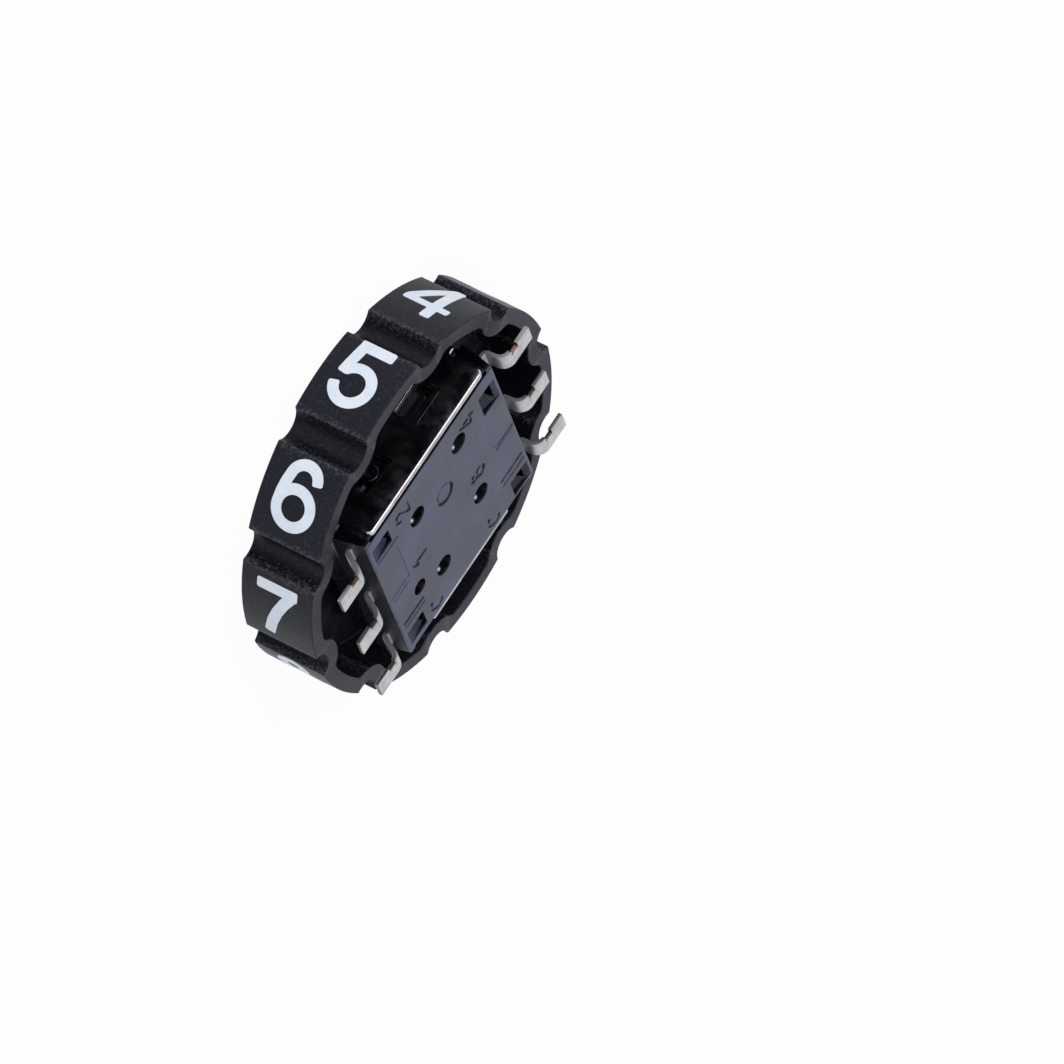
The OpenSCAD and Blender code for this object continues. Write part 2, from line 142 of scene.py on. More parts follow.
def apply_modifier(piece, kind, **settings):
    """Adds one modifier and applies it."""
    select_only(piece)
    modifier = piece.modifiers.new(kind.lower(), kind)
    for key, value in settings.items():
        setattr(modifier, key, value)
    bpy.ops.object.modifier_apply(modifier=modifier.name)
    return piece


def merge(piece, tool, how):
    """Cuts a tool away from a piece, or joins it on, and takes the tool away."""
    apply_modifier(piece, "BOOLEAN", operation=how, object=tool, solver="EXACT")
    bpy.data.objects.remove(tool)
    return piece


def cut(piece, tool):
    """Cuts a tool away from a piece."""
    return merge(piece, tool, "DIFFERENCE")


def finish_edges(piece, width, angle=35, steps=2, smooth=40):
    """Breaks every sharp edge by a small radius and smooths what is nearly flat. Faces of less
    than a square millimetre get no weight, so the normals are weighted at 1000 times the size."""
    apply_modifier(piece, "BEVEL", width=width * MM, segments=steps, limit_method="ANGLE",
                   angle_limit=math.radians(angle), use_clamp_overlap=False,
                   miter_outer="MITER_ARC")
    select_only(piece)
    bpy.ops.object.shade_smooth_by_angle(angle=math.radians(smooth))
    piece.scale = (1000, 1000, 1000)
    apply_modifier(settle(piece), "WEIGHTED_NORMAL", keep_sharp=True)
    piece.scale = (0.001, 0.001, 0.001)
    return settle(piece)


COVER_X, COVER_Y = 3.4, 3.15          # half width over the flaps, half length of the plate
COVER_Z, EDGE_Z = 0.85, 3.0           # outer face of the plate, free edge of the flaps
SHEET, FOLD = 0.2, 0.4                # thickness, outer radius of the folds
FLAP_Y, SHOULDER_Z = 2.9, 1.86        # half length of the flaps, and where they step in
FAR_Y, FAR_Z = 1.95, 2.75             # the far flap's corners are cut down
LATCH_Y, LATCH_L = 1.25, 1.25         # middle and length of a latch window
LATCH_LOW, LATCH_TOP = 1.46, 2.26     # heights of its two long edges
FAR_DROP, CORNER_R = 0.09, 0.16       # the far flap is a little lower, the near one has round corners
NECK_HOLE = 1.45                      # radius
OUT = 4.0                             # where tools end that reach past the part

bpy.ops.object.select_all(action="DESELECT")
bpy.ops.mesh.primitive_plane_add(size=1, location=(0, 0, COVER_Z * MM))
cover = bpy.context.active_object
cover.name = "folded_cover"
cover.scale = (2 * (COVER_X - FOLD) * MM, 2 * COVER_Y * MM, 1)
settle(cover)
with editing(cover, "EDGE"):
    for side in (-1, 1):
        pick_edges(lambda middle, way: middle.x * side > COVER_X - FOLD - 0.01)
        sweep((side * (COVER_X - FOLD), 0, COVER_Z + FOLD), (0, 1, 0), -90 * side, 8)
        push(z=EDGE_Z - COVER_Z - FOLD)
apply_modifier(cover, "SOLIDIFY", thickness=SHEET * MM, offset=1, use_even_offset=True)
for side in (-1, 1):
    for x, y, z in ((-OUT, FLAP_Y, SHOULDER_Z), (3, FAR_Y, FAR_Z), (3, 0, EDGE_Z - FAR_DROP)):
        low, high = sorted((side * y, side * OUT))
        cut(cover, block("tool", (x, low, z), (OUT, high, OUT)))
round_edges(cover, lambda middle, way: abs(way.x) > 0.9 and middle.x < -3 and middle.z > 2.9
            and abs(middle.y) > FLAP_Y - 0.1, CORNER_R, 5)
finish_edges(cover, 0.055, steps=3)
for y in (-LATCH_Y, LATCH_Y):
    tool = block("tool", (-OUT, y - LATCH_L / 2, LATCH_LOW), (OUT, y + LATCH_L / 2, LATCH_TOP))
    cut(cover, round_edges(tool, lambda middle, way: abs(way.x) > 0.9, 0.08))
cut(cover, peg("tool", (0, 0), NECK_HOLE, 0, 2, 64))
finish_edges(cover, 0.014)


def place(tree, kind, inputs=None, **settings):
    """Adds a node, with its settings, plain values and links."""
    node = tree.nodes.new(kind)
    for key, value in settings.items():
        setattr(node, key, value)
    for key, value in (inputs or {}).items():
        if isinstance(value, bpy.types.NodeSocket):
            tree.links.new(value, node.inputs[key])
        else:
            node.inputs[key].default_value = value
    return node


def mix(tree, factor, first, second):
    """Blends two colours."""
    return place(tree, "ShaderNodeMix", {"Factor": factor, 6: first, 7: second},
                 data_type="RGBA").outputs[2]


def calc(tree, operation, *values, clamp=False):
    """One step of arithmetic."""
    return place(tree, "ShaderNodeMath", dict(enumerate(values)), operation=operation,
                 use_clamp=clamp).outputs[0]


def ramp(tree, value, low, high, start=0.0, end=1.0):
    """Takes what runs from low to high to run from start to end, and holds it there."""
    return place(tree, "ShaderNodeMapRange", {"Value": value, "From Min": low, "From Max": high,
                                              "To Min": start, "To Max": end}).outputs[0]


def noise(tree, where, scale, detail, roughness=0.5):
    """Cloudy noise round 0.5."""
    return place(tree, "ShaderNodeTexNoise", {"Vector": where, "Scale": scale, "Detail": detail,
                                              "Roughness": roughness}).outputs[0]


def spot(tree):
    """The place on the piece, in metres."""
    return place(tree, "ShaderNodeTexCoord").outputs["Object"]


def link(tree, node, **sources):
    """Links each source to the input of its name."""
    for key, source in sources.items():
        tree.links.new(source, node.inputs[key.replace("_", " ")])


def new_group(name, inputs, outputs):
    """An empty shader node group with named inputs, outputs and defaults."""
    group = bpy.data.node_groups.new(name, "ShaderNodeTree")
    for label, kind, value in inputs:
        socket = group.interface.new_socket(label, in_out="INPUT", socket_type=kind)
        socket.default_value = value
    for label, kind in outputs:
        group.interface.new_socket(label, in_out="OUTPUT", socket_type=kind)
    return group, group.nodes.new("NodeGroupInput").outputs, group.nodes.new("NodeGroupOutput")


COLOR, FLOAT, VECTOR = "NodeSocketColor", "NodeSocketFloat", "NodeSocketVector"
SKIN = [("Color", COLOR), ("Roughness", FLOAT), ("Height", FLOAT)]


def rolled_metal_group():
    """Rolled or plated strip: fine lines one way, dull patches and fine pits."""
    tree, given, out = new_group(
        "rolled_metal",
        [("Bright", COLOR, (0.8, 0.8, 0.8, 1)), ("Dull", COLOR, (0.4, 0.4, 0.4, 1)),
         ("Stretch", VECTOR, (1, 1, 1)), ("Grain", FLOAT, 9000), ("Dulling", FLOAT, 0.5),
         ("Smooth", FLOAT, 0.2), ("Rough", FLOAT, 0.4)], SKIN)
    where = spot(tree)
    along = place(tree, "ShaderNodeVectorMath", {0: where, 1: given["Stretch"]},
                  operation="MULTIPLY").outputs[0]
    lines = noise(tree, along, given["Grain"], 3.0)
    dull = ramp(tree, noise(tree, where, 1600.0, 4.0, 0.65), 0.42, 0.68)
    both = calc(tree, "ADD", dull, calc(tree, "MULTIPLY", lines, 0.45), clamp=True)
    amount = calc(tree, "MULTIPLY", both, given["Dulling"])
    link(tree, out, Color=mix(tree, amount, given["Bright"], given["Dull"]), Height=lines,
         Roughness=ramp(tree, both, 0.0, 1.0, given["Smooth"], given["Rough"]))
    return tree


def worn_edge_group():
    """A broken mask along the edges that mark_edges found."""
    tree, given, out = new_group(
        "worn_edge", [("Amount", FLOAT, 0.5), ("Size", FLOAT, 6000)], [("Mask", FLOAT)])
    edge = place(tree, "ShaderNodeAttribute", attribute_name="edge").outputs["Fac"]
    patchy = ramp(tree, noise(tree, spot(tree), given["Size"], 3.0), 0.4, 0.62)
    mask = calc(tree, "MULTIPLY", edge, patchy)
    link(tree, out, Mask=calc(tree, "MULTIPLY", mask, given["Amount"], clamp=True))
    return tree


def use_group(tree, group, inputs):
    """Places a group with its own values."""
    return place(tree, "ShaderNodeGroup", inputs, node_tree=group).outputs


def new_finish(name, **sockets):
    """A material whose plain values sit on the shader's own sockets."""
    material = bpy.data.materials.new(name)
    material.use_nodes = True
    tree = material.node_tree
    shader = tree.nodes["Principled BSDF"]
    for key, value in sockets.items():
        shader.inputs[key.replace("_", " ")].default_value = value
    return material, tree, shader


def relief(tree, height, depth):
    """The normal of a bump of a depth in mm."""
    return place(tree, "ShaderNodeBump", {"Height": height, "Distance": depth * MM}).outputs[0]


def plain_finish(name, group, look, depth, **sockets):
    """A material that is one group throughout, with relief of a depth in mm."""
    material, tree, shader = new_finish(name, **sockets)
    skin = use_group(tree, group, look)
    link(tree, shader, Base_Color=skin["Color"], Roughness=skin["Roughness"],
         Normal=relief(tree, skin["Height"], depth))
    return material


def mark_edges(piece):
    """Stores how far each point is turned out of its widest face, for wear along edges."""
    mesh = piece.data
    shape = bmesh.new()
    shape.from_mesh(mesh)
    turn = []
    for vert in shape.verts:
        faces = sorted(vert.link_faces, key=lambda f: f.calc_area())
        middle = sum((f.normal * f.calc_area() for f in faces), Vector())
        turn.append(min(1.0, middle.angle(faces[-1].normal, 0.0) / 0.3))
    shape.free()
    store = mesh.attributes.new("edge", "FLOAT", "POINT")
    store.data.foreach_set("value", turn)


def coat(piece, material):
    """Gives a whole piece one material."""
    piece.data.materials.clear()
    piece.data.materials.append(material)


def assign(piece, slot, test):
    """Gives the faces that pass the test the material of a slot."""
    with editing(piece):
        pick_faces(test)
        piece.active_material_index = slot
        bpy.ops.object.material_slot_assign()


rolled_metal = rolled_metal_group()
worn_edge = worn_edge_group()

tinned_steel, tree, shader = new_finish("tinned_steel", Metallic=1.0)
strip = use_group(tree, rolled_metal, {
    "Bright": (0.56, 0.55, 0.59, 1), "Dull": (0.42, 0.40, 0.43, 1), "Stretch": (1, 0.06, 1),
    "Grain": 16000.0, "Dulling": 0.5, "Smooth": 0.10, "Rough": 0.24})
worn = use_group(tree, worn_edge, {"Amount": 0.7, "Size": 9000.0})["Mask"]
link(tree, shader, Base_Color=mix(tree, worn, strip["Color"], (0.68, 0.65, 0.67, 1)),
     Roughness=strip["Roughness"], Normal=relief(tree, strip["Height"], 0.0006))

sheared_steel = plain_finish("sheared_steel", rolled_metal, {
    "Bright": (0.68, 0.62, 0.60, 1), "Dull": (0.30, 0.26, 0.24, 1), "Stretch": (1, 0.1, 1),
    "Grain": 12000.0, "Dulling": 0.9, "Smooth": 0.22, "Rough": 0.36}, 0.002, Metallic=1.0)

mark_edges(cover)
coat(cover, tinned_steel)
cover.data.materials.append(sheared_steel)
assign(cover, 1, lambda m, normal: normal.z > 0.9 and m.z > EDGE_Z - FAR_DROP - 0.01)
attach(cover, "housing")
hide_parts("metal_cover")


# ---- Detent spring and wiper ----
# The detent leaf is plain spring strip held in two notches of the base. The wiper is a stamped,
# gold-plated contact on the rotor, and its three arms press on the contact face.

spring_strip = plain_finish("spring_strip", rolled_metal, {
    "Bright": (0.62, 0.61, 0.60, 1), "Dull": (0.42, 0.41, 0.40, 1), "Stretch": (1, 0.1, 1),
    "Grain": 14000.0, "Dulling": 0.6, "Smooth": 0.2, "Rough": 0.38}, 0.002, Metallic=1.0)
coat(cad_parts["detent_spring"], spring_strip)

gold_plate = plain_finish("gold_plate", rolled_metal, {
    "Bright": (0.86, 0.64, 0.28, 1), "Dull": (0.55, 0.38, 0.18, 1), "Stretch": (1, 1, 0.2),
    "Grain": 12000.0, "Dulling": 0.4, "Smooth": 0.18, "Rough": 0.32}, 0.002, Metallic=1.0)
coat(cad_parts["wiper"], gold_plate)


# ---- Rotor and O-ring ----
# The rotor is moulded in black plastic and is the wheel's bearing in the cover plate. A soft
# rubber ring round its neck seals the housing.

def moulded_group():
    """Moulded plastic: spark-eroded grain, pale specks of filler and cloudy gloss."""
    tree, given, out = new_group(
        "moulded_plastic",
        [("Body", COLOR, (0.01, 0.01, 0.012, 1)), ("Filler", COLOR, (0.2, 0.2, 0.22, 1)),
         ("Grain", FLOAT, 16000), ("Specks", FLOAT, 0.2), ("Clouds", FLOAT, 0.1),
         ("Smooth", FLOAT, 0.4), ("Rough", FLOAT, 0.6)], SKIN)
    where = spot(tree)
    grain = noise(tree, where, given["Grain"], 2.0, 0.6)
    speck = calc(tree, "MULTIPLY", ramp(tree, grain, 0.5, 0.72), given["Specks"])
    haze = ramp(tree, noise(tree, where, 600.0, 4.0, 0.6), 0.3, 0.75)
    cloud = calc(tree, "MULTIPLY", haze, given["Clouds"])
    pale = calc(tree, "ADD", speck, cloud, clamp=True)
    link(tree, out, Color=mix(tree, pale, given["Body"], given["Filler"]), Height=grain,
         Roughness=ramp(tree, haze, 0.0, 1.0, given["Smooth"], given["Rough"]))
    return tree


moulded_plastic = moulded_group()

rotor_plastic = plain_finish("rotor_plastic", moulded_plastic, {
    "Body": (0.004, 0.004, 0.005, 1), "Filler": (0.05, 0.05, 0.055, 1), "Grain": 12000.0,
    "Specks": 0.2, "Clouds": 0.08, "Smooth": 0.35, "Rough": 0.55}, 0.003, IOR=1.45)
coat(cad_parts["rotor"], rotor_plastic)

seal_rubber = plain_finish("seal_rubber", moulded_plastic, {
    "Body": (0.012, 0.012, 0.012, 1), "Filler": (0.05, 0.05, 0.05, 1), "Grain": 9000.0,
    "Specks": 0.1, "Clouds": 0.3, "Smooth": 0.55, "Rough": 0.75}, 0.002, IOR=1.5)
coat(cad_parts["o_ring"], seal_rubber)


# ---- Base ----
# A black moulding that holds the terminals, open towards the rotor. Its board side shows the
# marks of the mould: holes over the leads, a vent, an inset, corner slots and terminal marks.

BASE_X, BASE_Y = 3.18, 3.25           # half width and half length
BASE_LOW, BASE_TOP = 1.05, 3.0        # open side, board side
FLARE_Y, FLARE_LOW = 3.45, 1.9        # half length at the foot of the flared ends, and its height
BASE_R = 0.06                         # rounding of its edges
CONTACT_Z, LEAD_T, LEAD_W = 2.35, 0.15, 0.62
ROOM_Y = 0.9                          # the leads lie in channels from here out
WALL = 0.42
PITCH = 2.54                          # between the leads of a row

base = block("base_moulding", (-BASE_X, -BASE_Y, BASE_LOW), (BASE_X, BASE_Y, BASE_TOP))
round_edges(base, lambda m, way: abs(way.y) > 0.9 and m.z > 2, 0.12, 1)
round_edges(base, lambda m, way: abs(way.y) > 0.9 and m.z < 2, 0.22, 4)
round_edges(base, lambda m, way: abs(way.z) > 0.9, BASE_R)
round_edges(base, lambda m, way: abs(way.x) > 0.9 and m.z > 2, BASE_R)
for side in (-1, 1):
    low, high = sorted((side * 3.0, side * FLARE_Y))
    skirt = block("tool", (-BASE_X, low, FLARE_LOW), (BASE_X, high, BASE_TOP - 0.02))
    with editing(skirt, "EDGE"):
        pick_edges(lambda m, way: abs(way.x) > 0.9 and m.z > 2 and abs(m.y) > 3.1)
        bpy.ops.transform.translate(value=(0, side * (BASE_Y - 0.03 - FLARE_Y) * MM, 0))
    round_edges(skirt, lambda m, way: abs(way.x) > 0.9 and m.z < 2.9 and abs(m.y) > 3.1, BASE_R)
    merge(base, skirt, "UNION")
cut(base, block("tool", (WALL - BASE_X, WALL - BASE_Y, 0), (BASE_X - WALL, BASE_Y - WALL, CONTACT_Z)))
for side in (-1, 1):
    low, high = sorted((side * ROOM_Y, side * OUT))
    for x in (-PITCH, 0, PITCH):
        cut(base, block("tool", (x - LEAD_W / 2, low, CONTACT_Z - 0.02),
                        (x + LEAD_W / 2, high, CONTACT_Z + LEAD_T)))

# Latches: a slim bar across each window of a flap, over a recess, and an eye in the -Y windows
BAR_TOP, EYE_Z = 2.24, 1.86
EYE_R, EYE_HOLE = 0.27, 0.13
for side in (-1, 1):
    for y, bar_low, bar_out in ((-LATCH_Y, 2.14, 0.1), (LATCH_Y, 2.06, 0.18)):
        end = LATCH_L / 2 - 0.04
        low, high = sorted((side * (BASE_X - 0.38), side * OUT))
        cut(base, block("tool", (low, y - end, 1.5), (high, y + end, 2.22)))
        low, high = sorted((side * (BASE_X - 0.45), side * (BASE_X + bar_out)))
        bar = block("tool", (low, y - end, bar_low), (high, y + end, BAR_TOP))
        round_edges(bar, lambda m, way: abs(way.y) > 0.9 and abs(m.x) > BASE_X, 0.03)
        merge(base, bar, "UNION")
    eye = peg("tool", (0, 0), EYE_R, -0.55, 0.06)
    round_edges(eye, lambda m, way: m.z > 0 and abs(way.z) < 0.5, 0.04)
    cut(eye, peg("tool", (0, 0), EYE_HOLE, -0.3, 1))
    eye.matrix_world = (Matrix.Translation((side * (BASE_X + 0.1) * MM, -LATCH_Y * MM, EYE_Z * MM))
                        @ Matrix.Rotation(side * math.pi / 2, 4, "Y"))
    merge(base, settle(eye), "UNION")

# Holes of the core pins over the leads, and a vent
HOLES = {"4": (-2.05, 1.14), "common_a": (1.0, 1.2), "2": (-1.58, -1.17), "common_b": (1.66, -0.97)}
HOLE_R = 0.33
VENT, VENT_R, VENT_Z = (1.15, -2.04), 0.26, 2.7
for hole in HOLES.values():
    cut(base, peg("tool", hole, HOLE_R, CONTACT_Z + LEAD_T, OUT))
cut(base, peg("tool", VENT, VENT_R, VENT_Z, OUT))


def face_outward():
    """Turns every face of the piece in edit mode to its outside."""
    bpy.ops.mesh.select_all(action="SELECT")
    bpy.ops.mesh.normals_make_consistent(inside=False)


CAP = 1.23                            # a stroke runs on by so many of its corner radii


def stroke(start, heading, *moves, width, corner):
    """A stroke of the engraver from a start and a heading, with rounded ends. A move is a length,
    or a radius and an angle, where a positive angle turns left."""
    at, way = Vector(start), math.radians(heading)
    ends = [at.copy()]
    bpy.ops.object.select_all(action="DESELECT")
    bpy.ops.mesh.primitive_plane_add(size=1, location=(at.x * MM, at.y * MM, 0),
                                     rotation=(math.pi / 2, 0, way + math.pi / 2))
    piece = bpy.context.active_object
    piece.scale = (width * MM, 0.7 * MM, 1)
    settle(piece)
    with editing(piece):
        bpy.ops.mesh.select_all(action="SELECT")
        for move in (CAP * corner, *moves, CAP * corner):
            if isinstance(move, tuple):
                radius, angle = move
                side = math.copysign(math.pi / 2, angle)
                centre = at + radius * Vector((math.cos(way + side), math.sin(way + side)))
                sweep((*centre, 0), (0, 0, 1), angle, max(3, round(abs(angle) / 6)))
                way += math.radians(angle)
                at = centre - radius * Vector((math.cos(way + side), math.sin(way + side)))
            else:
                step = move * Vector((math.cos(way), math.sin(way)))
                push(*step)
                at += step
        bpy.ops.mesh.select_all(action="SELECT")
        bpy.ops.mesh.remove_doubles(threshold=0.0001 * MM)
        face_outward()
    ends.append(at)
    return round_edges(piece, lambda m, way: abs(way.z) > 0.9 and any(
        (m.xy - end).length < 0.503 * width for end in ends), corner, 4)


def straight(a, b, width, corner):
    """A straight stroke from one point to another, rounded ends included."""
    a, b = Vector(a), Vector(b)
    return stroke(a, math.degrees(math.atan2(b.y - a.y, b.x - a.x)),
                  (b - a).length - 2 * CAP * corner, width=width, corner=corner)


def hoop(middle, radius, width):
    """A closed round stroke."""
    piece = peg("hoop", middle, radius + width / 2, -0.35, 0.35, 64)
    return cut(piece, peg("tool", middle, radius - width / 2, -1, 1, 64))


def engraver(mark, pen=0.325, corner=0.065):
    """The flat tool of a mark 2.1 mm high, with x to its right and y to its top."""
    plain = {"width": pen, "corner": corner}
    parts = {
        "0": lambda: [stroke((0.545, -0.42), 90, 0.68, (0.545, 180), **plain),
                      stroke((-0.545, 0.42), -90, 0.68, (0.545, 180), **plain)],
        "1": lambda: [straight((0.14, -1.05), (0.14, 1.05), **plain),
                      straight((-0.42, 0.27), (0.08, 0.87), **plain)],
        "2": lambda: [stroke((-0.535, 0.37), 82, (0.545, -205), **plain),
                      straight((0.46, 0.05), (-0.52, -0.82), **plain),
                      straight((-0.71, -0.885), (0.71, -0.885), **plain)],
        "3": lambda: [stroke((-0.39, 0.58), 68, (0.41, -248), **plain),
                      stroke((-0.08, 0.06), 0, (0.46, -238), **plain)],
        "4": lambda: [straight((0.20, -1.06), (0.15, 1.04), **plain),
                      straight((-0.82, -0.47), (0.66, -0.48), pen * 0.83, corner),
                      straight((-0.69, -0.42), (0.11, 0.94), pen * 0.92, corner)],
        "5": lambda: [straight((-0.55, 0.885), (0.59, 0.885), pen * 1.08, corner),
                      straight((-0.38, 0.92), (-0.51, -0.13), **plain),
                      stroke((-0.468, -0.05), 48, (0.545, -303), **plain)],
        "6": lambda: [hoop((0.02, -0.365), 0.54, pen),
                      stroke((-0.52, -0.45), 90, (3.3, -17), (0.44, -153), **plain)],
        "7": lambda: [straight((-0.62, 0.87), (0.73, 0.87), pen * 1.1, corner),
                      stroke((0.62, 0.91), 232, (4.3, 26), width=pen * 1.06, corner=corner)],
        "8": lambda: [hoop((0, 0.53), 0.355, pen), hoop((0, -0.355), 0.53, pen)],
        "C": lambda: [stroke((0.45, 0.62), 125, (0.62, 110), 0.35, (0.62, 110), **plain)]}
    first, *rest = parts["6" if mark == "9" else mark]()
    for part in rest:
        merge(first, part, "UNION")
    if mark == "9":
        first.rotation_euler = (0, 0, math.pi)
        settle(first)
    return first


# Terminal marks, read with the base turned half round
MARKS = (("4", -2.40, 1.68), ("8", 0.12, 1.36), ("C", 2.60, 1.34),
         ("2", -2.45, -1.62), ("1", 0.12, -1.66), ("C", 2.58, -1.66))
MARK_SIZE = 0.33                      # against the numerals of the wheel
for mark, x, y in MARKS:
    tool = engraver(mark, pen=0.34)
    tool.matrix_world = (Matrix.Translation((x * MM, y * MM, (BASE_TOP + 0.07) * MM))
                         @ Matrix.Rotation(math.pi, 4, "Z") @ Matrix.Scale(MARK_SIZE, 4))
    cut(base, settle(tool))

# A coined inset: a sunk ring round a slightly lower middle
INSET, INSET_R, INSET_RING = (-0.93, 0.03), 0.30, 0.39
cut(base, peg("tool", INSET, INSET_R, BASE_TOP - 0.03, OUT))
tool = peg("tool", INSET, INSET_RING, BASE_TOP - 0.06, OUT)
cut(base, cut(tool, peg("tool", INSET, INSET_R, 0, OUT + 1)))

# Shallow panels between the leads, with rounded corners, and the slots beside them
for low, high, depth, radius in (
        ((-1.32, 2.22), (0.17, 4.0), 0.02, 0.25), ((0.22, 2.25), (0.29, 3.1), 0.03, 0.03),
        ((-1.55, -4.0), (0.17, -2.2), 0.02, 0.08), ((0.30, -3.1), (0.37, -2.3), 0.03, 0.03),
        ((1.66, 2.0), (1.78, 3.1), 0.035, 0.05), ((1.90, 2.0), (2.04, 3.1), 0.025, 0.06),
        ((1.66, -3.1), (1.78, -2.05), 0.035, 0.05), ((1.88, -3.1), (1.98, -2.05), 0.025, 0.04),
        ((-1.95, -3.1), (-1.85, -2.05), 0.03, 0.04)):
    tool = block("tool", (*low, BASE_TOP - depth), (*high, OUT))
    cut(base, round_edges(tool, lambda m, way: abs(way.z) > 0.9, radius, 4))


POCKET, RIDGES, RIDGE_H = 0.2, 5, 0.07
CORE = 0.34                           # length of the triangular corner


def ridged_pocket(low, high):
    """The tool of a pocket with a ridged floor that slopes up to the end of the base."""
    bpy.ops.object.select_all(action="DESELECT")
    bpy.ops.mesh.primitive_grid_add(
        x_subdivisions=2 * RIDGES, y_subdivisions=1, size=1,
        location=((low[0] + high[0]) / 2 * MM, (low[1] + high[1]) / 2 * MM, (BASE_TOP - POCKET) * MM))
    piece = bpy.context.active_object
    piece.scale = ((high[0] - low[0]) * MM, (high[1] - low[1]) * MM, 1)
    settle(piece)
    step = (high[0] - low[0]) / 2 / RIDGES
    with editing(piece, "EDGE"):
        pick_edges(lambda m, way: abs(way.y) > 0.9 and round((m.x - low[0]) / step) % 2 == 1)
        bpy.ops.transform.translate(value=(0, 0, RIDGE_H * MM))
        pick_edges(lambda m, way: abs(way.y) < 0.1 and abs(m.y) > 3)
        bpy.ops.transform.translate(value=(0, 0, (POCKET - 0.06) * MM))
        bpy.ops.mesh.select_mode(type="FACE")
        bpy.ops.mesh.select_all(action="SELECT")
        push(z=1)
        face_outward()
    return piece


# Corner pockets, each with the deep triangular corner of a core pin
for low, high, corner in (((-2.55, 2.35), (-1.62, 3.12), 2.95), ((2.28, 2.3), (2.98, 3.12), 2.9),
                          ((-2.66, -3.1), (-2.06, -2.3), -2.3), ((2.22, -3.1), (2.86, -2.3), -2.3)):
    pocket = ridged_pocket(low, high)
    wide = 0.9 * (high[0] - low[0])
    core = block("tool", (low[0] - 0.01, corner - CORE, BASE_TOP - 0.7),
                 (low[0] + wide, corner + 0.01, 3.4))
    with editing(core, "EDGE"):
        pick_edges(lambda m, way: abs(way.z) > 0.9 and m.x > low[0] + wide / 2 and m.y < corner - 0.2)
        bpy.ops.transform.translate(value=(-wide / 2 * MM, CORE / 2 * MM, 0))
    cut(base, merge(pocket, core, "UNION"))
finish_edges(base, 0.015, angle=50)


def axis_of(tree, vector, axis):
    """One of a vector's three parts."""
    return place(tree, "ShaderNodeSeparateXYZ", {0: vector}).outputs[axis]


def squareness(tree, axis):
    """How squarely the surface looks along an axis, either way, from 0 to 1."""
    normal = place(tree, "ShaderNodeNewGeometry").outputs["Normal"]
    return calc(tree, "ABSOLUTE", axis_of(tree, normal, axis))


# Its board side has the moulded skin, with a bluish haze that is partly mottled dust and partly
# painted sheen. Below the board face it is glossier and painted near-black, as painted shade in the
# holes, pockets, marks and windows and on the side walls, and its end faces are painted a less dark grey.
base_plastic, tree, shader = new_finish(
    "base_plastic", IOR=1.46, Specular_Tint=(0.80, 0.84, 1.0, 1))
top = ramp(tree, axis_of(tree, spot(tree), "Z"), 2.92 * MM, 2.985 * MM)
end = ramp(tree, calc(tree, "ABSOLUTE", axis_of(tree, spot(tree), "Y")), 3.12 * MM, 3.18 * MM)
end = calc(tree, "MULTIPLY", end, ramp(tree, squareness(tree, "Y"), 0.6, 0.9))
# the bluish Filler haze of the board side is partly mottled dust, partly a painted sheen
body = use_group(tree, moulded_plastic, {
    "Body": (0.004, 0.005, 0.012, 1), "Filler": (0.098, 0.111, 0.212, 1), "Grain": 14000.0,
    "Specks": 0.06, "Clouds": 0.5, "Smooth": 0.22, "Rough": 0.36})
worn = use_group(tree, worn_edge, {"Amount": 0.25, "Size": 5000.0})["Mask"]
# painted shade: near-black below the board face, a less dark grey on the end faces
painted_shade_below_board = mix(tree, end, (0.002, 0.002, 0.003, 1), (0.022, 0.0235, 0.031, 1))
colour = mix(tree, top, painted_shade_below_board, body["Color"])
link(tree, shader, Base_Color=mix(tree, worn, colour, (0.22, 0.22, 0.25, 1)),
     Roughness=ramp(tree, calc(tree, "MAXIMUM", top, end), 0.0, 1.0, 0.15, body["Roughness"]),
     Normal=relief(tree, body["Height"], 0.001))

mark_edges(base)
coat(base, base_plastic)
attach(base, "housing")
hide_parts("base")


# ---- Terminals ----
# Six stamped leads of tin-plated copper alloy, moulded into the base and bent to gull wings.
# Each foot has the scar of its tie bar, where the plating is off and the copper shows.

LOW_BEND, TOP_BEND = 0.14, 0.32       # inner radii, to the middle of the strip
FOOT_Z, TIP = 3.15, 4.86              # soldering plane, end of the feet
TRIM_Y, TRIM_L, TRIM_W = 4.12, 0.28, 0.13
ARM_END, ARM_Y = 0.9, 1.2             # end and middle of the contact arms
PIP_R, PIP_TOP = 0.09, 2.88           # rounded pip that shows in a hole of the base


def lead(name, x, with_arm, rise, run):
    """One terminal of the +Y row: its contact arm towards the middle, run, bends and foot. The
    rise is the slope between its bends, in degrees, and the run its length outside the base."""
    half = LEAD_W / 2
    up = math.radians(rise)
    height = FOOT_Z - LEAD_T - CONTACT_Z
    between = (height - (LOW_BEND + TOP_BEND) * (1 - math.cos(up))) / math.sin(up)
    piece = block(name, (x - half, ARM_Y - half, CONTACT_Z), (x + half, ARM_Y + half, CONTACT_Z + LEAD_T))
    with editing(piece):
        if with_arm:
            pick_faces(lambda m, normal: normal.x > 0.9)
            push(x=-x - half - ARM_END)
        pick_faces(lambda m, normal: normal.y > 0.9 and m.x < x + half)
        push(y=BASE_Y - WALL - ARM_Y - half)
        push(y=WALL + run)
        y, z = BASE_Y + run, CONTACT_Z + LEAD_T / 2
        sweep((0, y, z + LOW_BEND), (1, 0, 0), rise, 8)
        y += LOW_BEND * math.sin(up) + between * math.cos(up)
        z += LOW_BEND * (1 - math.cos(up)) + between * math.sin(up)
        push(y=between * math.cos(up), z=between * math.sin(up))
        y += TOP_BEND * math.sin(up)
        z -= TOP_BEND * math.cos(up)
        sweep((0, y, z), (1, 0, 0), -rise, 12)
        push(y=TIP - y)
        bpy.ops.mesh.select_all(action="SELECT")
        bpy.ops.mesh.remove_doubles(threshold=0.0001 * MM)
        face_outward()
    return piece


